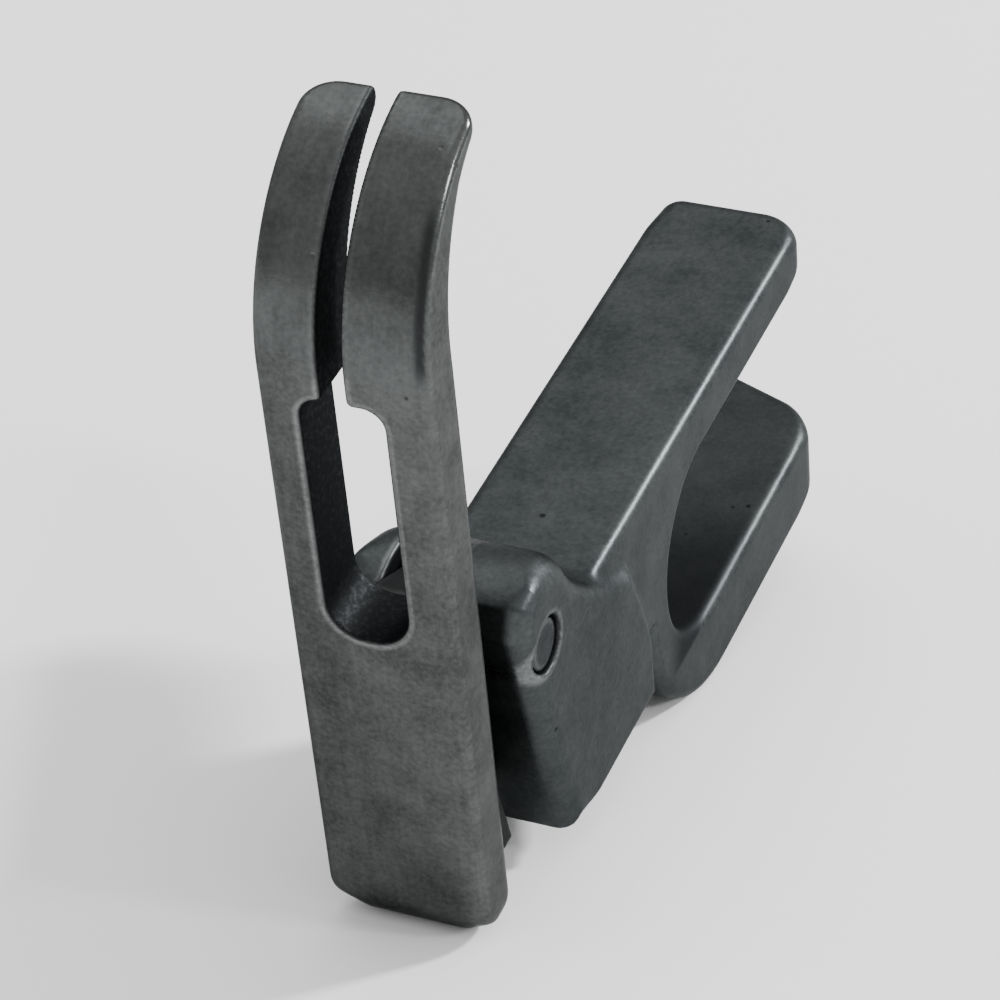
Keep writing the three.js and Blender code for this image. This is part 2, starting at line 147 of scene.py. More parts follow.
class Outline:
    """A closed outline in the side view (Y, Z) or the plan (X, Y), of lines and arcs."""

    def __init__(self, arc_step_deg: float = 6.0) -> None:
        """Starts an empty outline.

        Args:
            arc_step_deg: Turn between two points of an arc.
        """
        self.points: list[tuple[float, float]] = []
        self.arc_step = math.radians(arc_step_deg)

    def to(self, u: float, v: float) -> "Outline":
        """Adds a corner, reached by a straight line."""
        self.points.append((u, v))
        return self

    def arc(self, u: float, v: float, radius: float, start: float, end: float) -> "Outline":
        """Adds an arc about a centre.

        Args:
            u: Centre's first coordinate.
            v: Centre's second coordinate.
            radius: Radius of the arc.
            start: Bearing of its first point, in radians.
            end: Bearing of its last point; the arc turns the way that end differs from start.

        Returns:
            The outline itself.
        """
        steps = max(2, math.ceil(abs(end - start) / self.arc_step))
        for turn in np.linspace(start, end, steps + 1):
            self.points.append((u + radius * math.cos(turn), v + radius * math.sin(turn)))
        return self

    def bend(self, corner: tuple[float, float], end: tuple[float, float]) -> "Outline":
        """Adds a soft corner, a curve from the last point.

        Args:
            corner: The point that pulls the curve towards it.
            end: The curve's last point.

        Returns:
            The outline itself.
        """
        first, middle, last = (np.array(p, float) for p in (self.points[-1], corner, end))
        for t in np.linspace(0, 1, 9)[1:]:
            mixed = (1 - t) ** 2 * first + 2 * t * (1 - t) * middle + t * t * last
            self.points.append((float(mixed[0]), float(mixed[1])))
        return self

    def distance(self, u: Array, v: Array) -> Array:
        """Signed distance to the outline, negative inside it.

        Args:
            u, v: Places in the outline's plane.

        Returns:
            The distances.
        """
        nearest = np.full(np.broadcast(u, v).shape, np.inf)
        inside = np.zeros(nearest.shape, bool)
        for (au, av), (bu, bv) in zip(self.points, self.points[1:] + self.points[:1]):
            eu, ev = bu - au, bv - av
            length = eu * eu + ev * ev
            if length < NO_LENGTH:
                continue
            wu, wv = u - au, v - av
            t = np.clip((wu * eu + wv * ev) / length, 0, 1)
            nearest = np.minimum(nearest, (wu - t * eu) ** 2 + (wv - t * ev) ** 2)
            above, below, left = v >= av, v < bv, eu * wv > ev * wu
            inside ^= (above & below & left) | ~(above | below | left)
        return np.where(inside, -1.0, 1.0) * np.sqrt(nearest)


def polar(u: float, v: float, radius: float, bearing: float) -> tuple[float, float]:
    """The point at a distance and bearing from (u, v)."""
    return u + radius * math.cos(bearing), v + radius * math.sin(bearing)


# ---- skinning ----


@dataclass
class Skin:
    """Turns a distance field into a closed mesh of quads that lies on the field's surface."""

    step: float
    margin: float = 0.5
    settle_rounds: int = 3
    probe: float = 0.02
    least_slope: float = 0.3
    # How far the probe reaches, both for rubbed edges and for the painted shade of hollows.
    wear_and_shade_reach: float = 0.35
    inset: float = 0.02

    def mesh(
        self,
        name: str,
        metal: Field,
        low: Triple,
        high: Triple,
        setting: "Setting",
        layers: dict[Layer, Field] | None = None,
    ) -> bpy.types.Mesh:
        """Skins a field.

        Args:
            name: Name of the mesh.
            metal: The distance field.
            low: Lowest corner of the space that holds the metal, in millimetres.
            high: Highest corner of it.
            setting: Turns the upright frame into the row frame.
            layers: What else to note on the points.

        Returns:
            The mesh, in the row frame, with its wear, the painted shade of its hollows and the other layers
            on its points.
        """
        axes = [np.arange(a - self.margin, b + self.margin, self.step) for a, b in zip(low, high)]
        grid = np.meshgrid(*axes, indexing="ij", sparse=True)

        def skin(x: Array, y: Array, z: Array) -> Array:
            """The metal, its surface a hair inside the sizes."""
            return metal(x, y, z) + self.inset

        value = np.array(np.broadcast_to(skin(*grid), [len(a) for a in axes]))
        points, quads = self._nets(value)
        points = points * self.step + np.array([a[0] for a in axes])
        normals = None
        for _ in range(self.settle_rounds):
            distance, normals = self._slope(skin, points)
            points = points - np.clip(distance, -self.step, self.step)[:, None] * normals
        noted = {
            Layer.WORN: self._depth(skin, points, normals, -self.wear_and_shade_reach),
            Layer.HOLLOW_SHADE: self._depth(skin, points, normals, self.wear_and_shade_reach),
        }
        noted |= {layer: measure(*points.T) for layer, measure in (layers or {}).items()}
        mesh = bpy.data.meshes.new(name)
        mesh.from_pydata(setting.to_row(points), [], quads.tolist())
        mesh.shade_smooth()
        for layer, amount in noted.items():
            attribute = mesh.attributes.new(layer.value, "FLOAT", "POINT")
            attribute.data.foreach_set("value", amount.astype(np.float32))
        mesh.update()
        return mesh

    def _depth(self, metal: Field, points: Array, normals: Array, reach: float) -> Array:
        """How much nearer the surface is than on a flat face, a step along the normal, from 0 to 1."""
        moved = points + reach * normals
        return np.clip(1 - np.abs(metal(*moved.T)) / abs(reach), 0, 1)

    def _slope(self, metal: Field, points: Array) -> tuple[Array, Array]:
        """Measures the field and its slope.

        Args:
            metal: The distance field.
            points: The points to measure at.

        Returns:
            The distance to the surface and the unit gradient at each point.
        """
        x, y, z = points.T
        here = metal(x, y, z)
        h = self.probe
        slope = np.stack(
            [
                metal(x + h, y, z) - metal(x - h, y, z),
                metal(x, y + h, z) - metal(x, y - h, z),
                metal(x, y, z + h) - metal(x, y, z - h),
            ],
            axis=1,
        ) / (2 * h)
        steepness = np.linalg.norm(slope, axis=1)
        unit = slope / np.maximum(steepness, NO_SLOPE)[:, None]
        return here / np.maximum(steepness, self.least_slope), unit

    def _nets(self, value: Array) -> tuple[Array, Array]:
        """Lays one point in each cell that the surface crosses, and one quad on each crossed grid edge.

        Args:
            value: The field on the grid.

        Returns:
            The points, in grid steps, and the quads' corners.
        """
        inside = value < 0
        cells = tuple(n - 1 for n in value.shape)
        total, count = np.zeros((*cells, 3)), np.zeros(cells)
        for axis in range(3):
            for du in (0, 1):
                for dv in (0, 1):
                    offset = np.zeros(3, int)
                    offset[(axis + 1) % 3], offset[(axis + 2) % 3] = du, dv
                    near = tuple(slice(o, o + n) for o, n in zip(offset, cells))
                    offset[axis] = 1
                    far = tuple(slice(o, o + n) for o, n in zip(offset, cells))
                    crossed = inside[near] != inside[far]
                    a, b = value[near][crossed], value[far][crossed]
                    spot = np.zeros((len(a), 3))
                    spot[:, (axis + 1) % 3], spot[:, (axis + 2) % 3] = du, dv
                    spot[:, axis] = a / (a - b)
                    total[crossed] += spot
                    count[crossed] += 1
        used = count > 0
        index = np.full(cells, -1)
        index[used] = np.arange(used.sum())
        points = np.argwhere(used) + total[used] / count[used][:, None]
        quads = []
        for axis in range(3):
            order = (axis, (axis + 1) % 3, (axis + 2) % 3)
            side = np.transpose(inside, order)[:, 1:-1, 1:-1]
            cell = np.transpose(index, order)
            corners = [cell[:, :-1, :-1], cell[:, 1:, :-1], cell[:, 1:, 1:], cell[:, :-1, 1:]]
            ring = np.stack(corners, axis=-1)
            outward = side[:-1] & ~side[1:]
            inward = ~side[:-1] & side[1:]
            quads += [ring[outward], ring[inward][:, ::-1]]
        return points, np.concatenate(quads)


@dataclass(frozen=True)
class Setting:
    """Where the upright frame lies in the row frame: tipped about X, with the hinge pin as anchor."""

    pin_y: float
    pin_z: float

    def tilt(self) -> tuple[float, float]:
        """Cosine and sine of the turn about X, from the direction that the sole's face looks."""
        faces = {mount["name"]: mount["axis"] for mount in frame["record"]["mounts"]}
        _, y, z = faces["sole_face"]
        return -z, y

    def turn(self) -> Matrix:
        """The turn from the upright frame to the row frame."""
        cosine, sine = self.tilt()
        return Matrix(((1, 0, 0), (0, cosine, -sine), (0, sine, cosine)))

    def to_row(self, points: Array) -> Array:
        """Moves points from the upright frame, in millimetres, to the row frame, in metres."""
        low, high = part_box("hinge_pin")
        anchor = np.array((low + high) / 2)
        local = (np.asarray(points, float) - (0, self.pin_y, self.pin_z)) * MM
        return local @ np.array(self.turn()).T + anchor


# ---- shader nodes ----


class Nodes:
    """Makes and links the nodes of one material."""

    def __init__(self, tree: bpy.types.NodeTree) -> None:
        """Works in the given tree."""
        self.tree = tree

    def feed(self, socket: Socket, value: Value) -> None:
        """Links a socket to another one, or sets it to a number or a colour."""
        if isinstance(value, Socket):
            self.tree.links.new(value, socket)
        else:
            socket.default_value = value

    def upright(self, turn: Matrix) -> Socket:
        """Object coordinates turned into the foot's upright frame."""
        source = self.tree.nodes.new("ShaderNodeTexCoord")
        mapping = self.tree.nodes.new("ShaderNodeMapping")
        mapping.inputs["Rotation"].default_value = turn.transposed().to_euler()
        self.feed(mapping.inputs["Vector"], source.outputs["Object"])
        return mapping.outputs["Vector"]

    def layer(self, layer: Layer) -> Socket:
        """What the points note under a layer's name."""
        node = self.tree.nodes.new("ShaderNodeAttribute")
        node.attribute_name = layer.value
        return node.outputs["Fac"]

    def noise(self, vector: Socket, scale: Triple, detail: float, roughness: float) -> Socket:
        """Noise with its own scale along each axis.

        Args:
            vector: Coordinates in metres.
            scale: Repeats per metre along each axis.
            detail: Number of finer layers.
            roughness: Strength of each layer against the coarser one before it.

        Returns:
            The noise, from 0 to 1.
        """
        mapping = self.tree.nodes.new("ShaderNodeMapping")
        mapping.inputs["Scale"].default_value = scale
        noise = self.tree.nodes.new("ShaderNodeTexNoise")
        for label, number in (("Scale", 1.0), ("Detail", detail), ("Roughness", roughness)):
            noise.inputs[label].default_value = number
        self.feed(mapping.inputs["Vector"], vector)
        self.feed(noise.inputs["Vector"], mapping.outputs["Vector"])
        return noise.outputs["Fac"]

    def cells(self, vector: Socket, scale: float) -> Socket:
        """Distance to the nearest of scattered points, scale of them per metre."""
        node = self.tree.nodes.new("ShaderNodeTexVoronoi")
        node.inputs["Scale"].default_value = scale
        self.feed(node.inputs["Vector"], vector)
        return node.outputs["Distance"]

    def _math(self, operation: str, a: Value, b: Value) -> Socket:
        """A math node on two sockets or numbers."""
        node = self.tree.nodes.new("ShaderNodeMath")
        node.operation = operation
        for socket, value in zip(node.inputs, (a, b)):
            self.feed(socket, value)
        return node.outputs[0]

    def add(self, a: Value, b: Value) -> Socket:
        """The sum of two values."""
        return self._math("ADD", a, b)

    def less(self, a: Value, b: Value) -> Socket:
        """The first value less the second."""
        return self._math("SUBTRACT", a, b)

    def times(self, a: Value, b: Value) -> Socket:
        """The product of two values."""
        return self._math("MULTIPLY", a, b)

    def span(self, value: Socket, low: float, high: float, start: float = 0.25, end: float = 0.75) -> Socket:
        """Maps a stretch of a value onto another one, and holds its ends beyond.

        Args:
            value: The value.
            low: What start becomes.
            high: What end becomes.
            start: Where the stretch starts.
            end: Where it ends.

        Returns:
            The mapped value.
        """
        node = self.tree.nodes.new("ShaderNodeMapRange")
        for label, number in (("From Min", start), ("From Max", end), ("To Min", low), ("To Max", high)):
            node.inputs[label].default_value = number
        self.feed(node.inputs["Value"], value)
        return node.outputs["Result"]

    def mix(self, factor: Value, a: Value, b: Value) -> Socket:
        """Goes from number a to number b by a factor."""
        node = self.tree.nodes.new("ShaderNodeMix")
        for label, value in (("Factor", factor), ("A", a), ("B", b)):
            socket = next(s for s in node.inputs if s.name == label and s.type == "VALUE")
            self.feed(socket, value)
        return next(s for s in node.outputs if s.type == "VALUE")

    def ramp(self, value: Socket, dark: Triple, light: Triple) -> Socket:
        """A colour between dark and light, steepest in the middle of a noise."""
        node = self.tree.nodes.new("ShaderNodeValToRGB")
        for stop, position, colour in zip(node.color_ramp.elements, RAMP_STOPS, (dark, light)):
            stop.position = position
            stop.color = (*colour, 1)
        self.feed(node.inputs["Fac"], value)
        return node.outputs["Color"]

    def tint(self, factor: Socket, colour: Socket, other: Socket | Triple) -> Socket:
        """Mixes a colour towards another one by a factor."""
        node = self.tree.nodes.new("ShaderNodeMix")
        node.data_type = "RGBA"
        first, second = (s for s in node.inputs if s.type == "RGBA")
        self.feed(node.inputs["Factor"], factor)
        self.feed(first, colour)
        self.feed(second, other if isinstance(other, Socket) else (*other, 1))
        return next(s for s in node.outputs if s.type == "RGBA")


# ---- finishes ----


def shade(colour: Triple, share: float) -> Triple:
    """A colour darkened or lightened by a share."""
    return tuple(share * part for part in colour)


@dataclass(frozen=True)
class Texture:
    """The noises that a steel's colour, sheen and relief are worked out from."""

    mottle: Socket
    cloud: Socket
    grain: Socket
    streak: Socket
    patch: Socket
    cells: Socket

    @classmethod
    def on(cls, nodes: Nodes, turn: Matrix) -> "Texture":
        """Makes the noises, laid out along the foot's own length.

        Args:
            nodes: The material's nodes.
            turn: The turn of the upright frame.

        Returns:
            The noises.
        """
        upright = nodes.upright(turn)
        return cls(
            mottle=nodes.noise(upright, (420, 420, 420), detail=8, roughness=0.68),
            cloud=nodes.noise(upright, (130, 80, 130), detail=2, roughness=0.5),
            grain=nodes.noise(upright, (5200, 5200, 5200), detail=3, roughness=0.6),
            streak=nodes.noise(upright, (4200, 260, 900), detail=4, roughness=0.7),
            patch=nodes.noise(upright, (420, 420, 420), detail=2, roughness=0.5),
            cells=nodes.cells(upright, 1300),
        )


@dataclass(frozen=True)
class Steel:
    """Worked steel: mottled by casting, smoothed by grinding, brighter where edges are rubbed.

    Shades are shares of the dark colour, and smooth values are shares of the lowest roughness.
    """

    name: str
    slot: str
    dark: Triple
    light: Triple
    bright: Triple
    roughness: tuple[float, float]
    grain: float
    streaks: float
    pits: float
    wear: float = 0.7
    polish: float = 0.0
    rim: float = 0.48
    # Colour of the black oxide, and of the painted shade and painted dark reflection.
    black_and_shade: Triple = (0.012, 0.013, 0.014)
    black_and_shade_roughness: float = 0.6
    cloud_share: float = 0.35
    grain_share: float = 0.3
    streak_share: float = 0.35
    pit_shade: float = 0.25
    # Painted shade in the hollows, as a share of the dark colour.
    painted_hollow_shade: float = 0.45
    buffed_shades: tuple[float, float] = (0.72, 1.28)
    rubbed_smooth: float = 0.4
    buffed_smooth: float = 0.75
    grain_height: float = 0.006
    mottle_height: float = 0.05
    pit_depth: float = 0.03
    bump_strength: float = 0.6

    def material(self, turn: Matrix) -> bpy.types.Material:
        """Builds the node tree.

        Args:
            turn: The turn of the upright frame, so that streaks follow the foot's own length.

        Returns:
            The finished material.
        """
        made = bpy.data.materials.new(self.name)
        made.use_nodes = True
        shader = made.node_tree.nodes["Principled BSDF"]
        shader.inputs["Metallic"].default_value = 1.0
        shader.inputs["Specular Tint"].default_value = (self.rim, self.rim, self.rim, 1)
        nodes = Nodes(made.node_tree)
        texture = Texture.on(nodes, turn)
        pit = self._pits(nodes, texture)
        tone = nodes.mix(self.cloud_share, texture.mottle, texture.cloud)
        tone = nodes.mix(self.grain_share, tone, texture.grain)
        tone = nodes.mix(self.streak_share * self.streaks, tone, texture.streak)
        worn = self._worn(nodes, texture)
        colour = nodes.tint(worn, nodes.ramp(tone, self.dark, self.light), self.bright)
        colour = nodes.tint(pit, colour, shade(self.dark, self.pit_shade))
        # Painted shade: the inner corners darkened towards the dark colour.
        colour = nodes.tint(self._hollow_shade_mask(nodes, texture), colour, shade(self.dark, self.painted_hollow_shade))
        rough = nodes.span(nodes.mix(0.5, texture.mottle, texture.streak), *self.roughness)
        rough = nodes.mix(worn, rough, self.rubbed_smooth * self.roughness[0])
        if self.polish:
            buffed = self._buffed(nodes, texture)
            dull, clear = (shade(self.dark, share * self.polish) for share in self.buffed_shades)
            colour = nodes.tint(buffed, colour, nodes.ramp(tone, dull, clear))
            rough = nodes.mix(buffed, rough, self.buffed_smooth * self.roughness[0])
        # Blackens the oxide, the painted shade and the painted dark reflection alike.
        black = self._oxide_and_shade_mask(nodes, texture)
        nodes.feed(shader.inputs["Base Color"], nodes.tint(black, colour, self.black_and_shade))
        nodes.feed(shader.inputs["Roughness"], nodes.mix(black, rough, self.black_and_shade_roughness))
        nodes.feed(shader.inputs["Normal"], self._relief(nodes, texture, pit))
        return made

    def _pits(self, nodes: Nodes, texture: Texture) -> Socket:
        """Small dark casting pits, few and of uneven size."""
        reach = nodes.span(texture.patch, -0.42, 0.24, 0.3, 0.72)
        return nodes.span(nodes.less(reach, texture.cells), 0.0, self.pits, 0.0, 0.08)

    def _worn(self, nodes: Nodes, texture: Texture) -> Socket:
        """How far an edge is rubbed bright, broken up by the grain."""
        rubbed = nodes.span(nodes.layer(Layer.WORN), 0.0, self.wear, 0.12, 0.7)
        return nodes.times(rubbed, nodes.span(texture.grain, 0.55, 1.0, 0.3, 0.6))

    def _oxide_and_shade_mask(self, nodes: Nodes, texture: Texture) -> Socket:
        """Black oxide that no tool has reached, together with painted shade and a painted dark reflection,
        speckled by the grain.
        """
        return nodes.times(nodes.layer(Layer.OXIDE_AND_SHADE), nodes.span(texture.grain, 0.8, 1.0, 0.3, 0.5))

    def _buffed(self, nodes: Nodes, texture: Texture) -> Socket:
        """Where the toes are buffed, from a wavy line onwards."""
        ragged = nodes.add(nodes.layer(Layer.TOEWARD), nodes.span(texture.mottle, -0.9, 0.9, 0.3, 0.7))
        ragged = nodes.add(ragged, nodes.span(texture.cloud, -0.8, 0.8, 0.3, 0.7))
        return nodes.span(ragged, 0.0, 0.75, 0.55, 0.85)

    def _hollow_shade_mask(self, nodes: Nodes, texture: Texture) -> Socket:
        """Painted shade that darkens the inner corners, broken up by the mottle."""
        held = nodes.span(nodes.layer(Layer.HOLLOW_SHADE), 0.0, 0.85, 0.15, 0.7)
        return nodes.times(held, nodes.span(texture.mottle, 0.5, 1.0, 0.35, 0.65))

    def _relief(self, nodes: Nodes, texture: Texture, pit: Socket) -> Socket:
        """Bump from grain, grinding streaks, the uneven casting and its pits.

        Args:
            nodes: The material's nodes.
            texture: The noises.
            pit: Where a pit is.

        Returns:
            The bumped normal.
        """
        height = nodes.times(texture.grain, self.grain_height * self.grain)
        height = nodes.add(height, nodes.times(texture.streak, self.grain_height * self.streaks))
        height = nodes.add(height, nodes.times(texture.mottle, self.mottle_height * self.grain))
        height = nodes.less(height, nodes.times(pit, self.pit_depth))
        bump = nodes.tree.nodes.new("ShaderNodeBump")
        bump.inputs["Strength"].default_value = self.bump_strength
        bump.inputs["Distance"].default_value = MM
        nodes.feed(bump.inputs["Height"], height)
        return bump.outputs["Normal"]


SHANK_STEEL = Steel(
    name="shank_steel",
    slot="shank_steel",
    dark=(0.032, 0.0362, 0.0376),
    light=(0.062, 0.0672, 0.0684),
    bright=(0.17, 0.176, 0.178),
    roughness=(0.34, 0.46),
    grain=1.0,
    streaks=0.25,
    pits=0.8,
)
SOLE_STEEL = Steel(
    name="sole_steel",
    slot="sole_steel",
    dark=(0.043, 0.0457, 0.0452),
    light=(0.098, 0.1018, 0.1007),
    bright=(0.22, 0.226, 0.227),
    roughness=(0.24, 0.36),
    grain=0.7,
    streaks=0.4,
    pits=0.8,
    polish=1.5,
)
PIN_STEEL = Steel(
    name="pin_steel",
    slot="pin_steel",
    dark=(0.028, 0.0312, 0.033),
    light=(0.050, 0.0540, 0.0555),
    bright=(0.14, 0.145, 0.148),
    roughness=(0.32, 0.44),
    grain=0.8,
    streaks=0.0,
    pits=0.5,
)
SPRING_STEEL = Steel(
    name="spring_steel",
    slot="spring_steel",
    dark=(0.07, 0.075, 0.08),
    light=(0.12, 0.126, 0.13),
    bright=(0.24, 0.25, 0.26),
    roughness=(0.2, 0.32),
    grain=0.4,
    streaks=0.8,
    pits=0.3,
)


def place(
    mesh: bpy.types.Mesh, finish: Steel, body: Body, node: str, setting: Setting
) -> bpy.types.Object:
    """Shows a finished mesh in place of a node.

    Args:
        mesh: The mesh, in the row frame.
        finish: Its steel.
        body: The body that it moves with.
        node: The node that it stands for.
        setting: The turn of the upright frame.

    Returns:
        The new piece.
    """
    piece = bpy.data.objects.new(mesh.name, mesh)
    bpy.context.scene.collection.objects.link(piece)
    mesh.materials.append(finish.material(setting.turn()))
    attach(piece, body.value)
    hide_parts(node)
    LOG.info("%s: %d points, %d faces", piece.name, len(mesh.vertices), len(mesh.polygons))
    return piece


# ---- the foot's own pieces ----


@dataclass(frozen=True)
class Hinge:
    """The hinge axis and what turns about it."""

    y: float = 1.3
    z: float = 6.2
    pin_radius: float = 1.05
    sink: float = 0.15
    cheek_fit: float = 0.03
    tongue_fit: float = 0.06
    tongue_width: float = 2.1
    tongue_offset: float = -0.8
    side_gap: float = 0.1
    eye: float = 2.25

    def distance(self, y: Array, z: Array) -> Array:
        """Distance from the hinge axis."""
        return np.hypot(y - self.y, z - self.z)


@dataclass
class Sole:
    """The blade with its two turned-up toes, its openings, and the tongue that the pin passes."""

    hinge: Hinge
    half: float = 3.175
    thickness: float = 2.78
    root_z: float = 1.0
    crown: float = 0.035
    crown_fade: float = 0.6
    shoulder: float = 0.85
    shoulder_share: float = 0.52
    lower_edge: float = 0.36
    lower_share: float = 0.42
    heel_y: float = 11.0
    heel_round: float = 1.7
    heel_corner: float = 1.5
    heel_blend: tuple[float, float] = (-2.0, 0.4)
    toe_y: float = -13.9
    toe_radius: float = 7.5
    toe_sweep: float = math.radians(82)
    toe_taper: float = 1.8
    tip_thickness: float = 0.8
    tip_corner: float = 1.3
    toe_draw: float = 0.3
    slot_x: float = -0.4
    slot_width: float = 0.85
    window_x: float = -0.18
    window_width: float = 3.0
    window_round: float = 1.35
    window_heel_y: float = -3.0
    window_toe_y: float = -13.0
    window_shoulder: float = 0.75
    window_join: float = 0.25
    window_lip: float = 0.16
    tongue_front_y: float = -2.6
    tongue_back_y: float = 10.1
    tongue_back_z: float = 7.1
    tongue_back_round: float = 0.8
    tongue_edge: float = 0.18
    tongue_join: float = 0.3
    pad_half: float = 1.9
    pad_front_y: float = 3.6
    pad_back_y: float = 10.3
    pad_gap: float = 1.5
    pad_edge: float = 0.25
    pad_join: float = 0.35
    bore_lip: float = 0.1
    # Width and strength of the painted dark reflection along the right toe's lower edge.
    dark_reflection_width: float = 0.62
    dark_reflection_strength: float = 0.75
    # Painted shade on the tongue between the cheeks.
    tongue_shade: float = 0.8
    buff_drop: float = 4.0
    underside: Callable[[Array], Array] = field(default=lambda y: y)
    step: float = 0.11

    @property
    def toe_length(self) -> float:
        """Length of a toe along its curved underside."""
        return self.toe_radius * self.toe_sweep

    def unrolled(self, y: Array, z: Array) -> tuple[Array, Array]:
        """Lays the turned-up toes out flat.

        Args:
            y, z: Places in the side view.

        Returns:
            Length along the underside from where the toes turn up, and height off the underside.
        """
        out, up = self.toe_y - y, self.toe_radius - z
        angle = np.arctan2(out, up)
        curled = (out > 0) & (up > -self.toe_radius)
        along = np.where(curled, self.toe_radius * angle, out)
        height = np.where(curled, self.toe_radius - np.hypot(out, up), z)
        return along, height

    def blade(self, x: Array, y: Array, z: Array) -> Array:
        """The blade before it is pierced.

        Args:
            x, y, z: Places in the upright frame.

        Returns:
            The blade's field.
        """
        along, height = self.unrolled(y, z)
        share = np.clip(along / self.toe_length, 0, 1)
        thick = self.thickness - (self.thickness - self.tip_thickness) * share**self.toe_taper
        crown = self.crown * (1 - self.crown_fade * share)
        side = np.abs(x) - self.half + self.toe_draw * share * (x > 0)
        plan = cut_to(side, along - self.toe_length, self.tip_corner)
        plan = cut_to(plan, y - self.heel_y, self.heel_corner)
        at_heel = ramp(y - self.heel_y - side, *self.heel_blend)
        lower = self.lower_edge + (self.heel_round - self.lower_edge) * at_heel
        under = cut_to(plan, -height, np.minimum(lower, self.lower_share * thick + at_heel))
        top = height - (thick - crown * x * x)
        return cut_to(under, top, np.minimum(self.shoulder, self.shoulder_share * thick))

    def window_plan(self) -> Outline:
        """The wide opening: square towards the toes with soft shoulders, round towards the heel."""
        left, right = self.window_x - self.window_width / 2, self.window_x + self.window_width / 2
        low, high = self.window_toe_y, self.window_heel_y
        soft, full = self.window_shoulder, self.window_round
        outline = Outline().arc(left + soft, low + soft, soft, -math.pi, -math.pi / 2)
        outline.arc(right - soft, low + soft, soft, -math.pi / 2, 0)
        outline.arc(right - full, high - full, full, 0, math.pi / 2)
        return outline.arc(left + full, high - full, full, math.pi / 2, math.pi)

    def openings(self, x: Array, y: Array) -> Array:
        """The needle slot and the window in one."""
        across = np.abs(x - self.slot_x) - self.slot_width / 2
        needle = np.maximum(across, y - (self.window_toe_y + self.window_shoulder))
        return join(needle, self.window_plan().distance(x, y), self.window_join)

    def tongue_outline(self) -> Outline:
        """Side view of the tongue: an eye round the pin, and a ridge that falls to the heel."""
        hinge = self.hinge
        corner_y = self.tongue_back_y - self.tongue_back_round
        corner_z = self.tongue_back_z - self.tongue_back_round
        dy, dz = corner_y - hinge.y, corner_z - hinge.z
        ridge = math.atan2(dz, dy) + math.acos((hinge.eye - self.tongue_back_round) / math.hypot(dy, dz))
        fy, fz = hinge.y - self.tongue_front_y, hinge.z - self.thickness
        front = math.atan2(fz, fy) + math.asin(hinge.eye / math.hypot(fy, fz)) + math.pi / 2
        outline = Outline().to(self.tongue_front_y, self.root_z).to(self.tongue_back_y, self.root_z)
        outline.arc(corner_y, corner_z, self.tongue_back_round, 0, ridge)
        outline.arc(hinge.y, hinge.z, hinge.eye, ridge, front)
        return outline.to(self.tongue_front_y, self.thickness)

    def pad_outline(self) -> Outline:
        """Side view of the pad that stops the heel."""
        low, high = self.pad_front_y, self.pad_back_y
        outline = Outline().to(low, self.root_z).to(high, self.root_z)
        outline.to(high, self.underside(high) - self.pad_gap)
        return outline.to(low, self.underside(low) - self.pad_gap)

    def metal(self, x: Array, y: Array, z: Array) -> Array:
        """The whole sole.

        Args:
            x, y, z: Places in the upright frame.

        Returns:
            The sole's field.
        """
        hinge = self.hinge
        pierced = carve(self.blade(x, y, z), self.openings(x, y), self.window_lip)
        tongue = np.abs(x - hinge.tongue_offset) - hinge.tongue_width / 2
        tongue = cut_to(tongue, self.tongue_outline().distance(y, z), self.tongue_edge)
        pad = cut_to(np.abs(x) - self.pad_half, self.pad_outline().distance(y, z), self.pad_edge)
        solid = join(join(pierced, pad, self.pad_join), tongue, self.tongue_join)
        return carve(solid, hinge.distance(y, z) - hinge.pin_radius - hinge.tongue_fit, self.bore_lip)

    def black_and_shade(self, x: Array, y: Array, z: Array) -> Array:
        """Black oxide on the walls of the openings, painted shade on the tongue, and a painted dark
        reflection along the right toe's lower edge.

        Args:
            x, y, z: Places in the upright frame.

        Returns:
            How black each point is, from 0 to 1.
        """
        walls = ramp(-self.openings(x, y), -0.13, -0.03) * ramp(z, -0.3, 0.02)
        # Painted dark reflection along the lower edge of the right toe.
        along, height = self.unrolled(y, z)
        inner = self.half - self.dark_reflection_width - self.toe_draw * np.clip(along / self.toe_length, 0, 1)
        edge = ramp(x - inner, 0, 0.28) * ramp(inner - x, -0.5, -0.42)
        dark_reflection = edge * ramp(along, 0.2, 1.4) * ramp(-along, -7.2, -5.6) * ramp(-height, -0.5, -0.1)
        walls = np.maximum(walls, self.dark_reflection_strength * dark_reflection)
        # Painted shade on the tongue, more of it as it rises between the cheeks.
        tongue = ramp(z + 0.15 * y, self.thickness + 0.2, self.thickness + 0.8) * (y > -6)
        return np.maximum(walls, self.tongue_shade * tongue)

    def toeward(self, x: Array, y: Array, z: Array) -> Array:
        """How far round the toes a point lies, in millimetres, and a lot less off the underside."""
        along, height = self.unrolled(y, z)
        return along - self.buff_drop * ramp(height, 0.12, 0.4)

    def build(self, setting: Setting) -> bpy.types.Object:
        """Skins and dresses the sole."""
        tip = self.toe_y - self.toe_radius
        low, high = (-self.half, tip, 0), (self.half, self.heel_y, self.hinge.z + self.hinge.eye)
        layers = {Layer.OXIDE_AND_SHADE: self.black_and_shade, Layer.TOEWARD: self.toeward}
        mesh = Skin(self.step).mesh("sole_finished", self.metal, low, high, setting, layers)
        return place(mesh, SOLE_STEEL, Body.SOLE, "sole", setting)


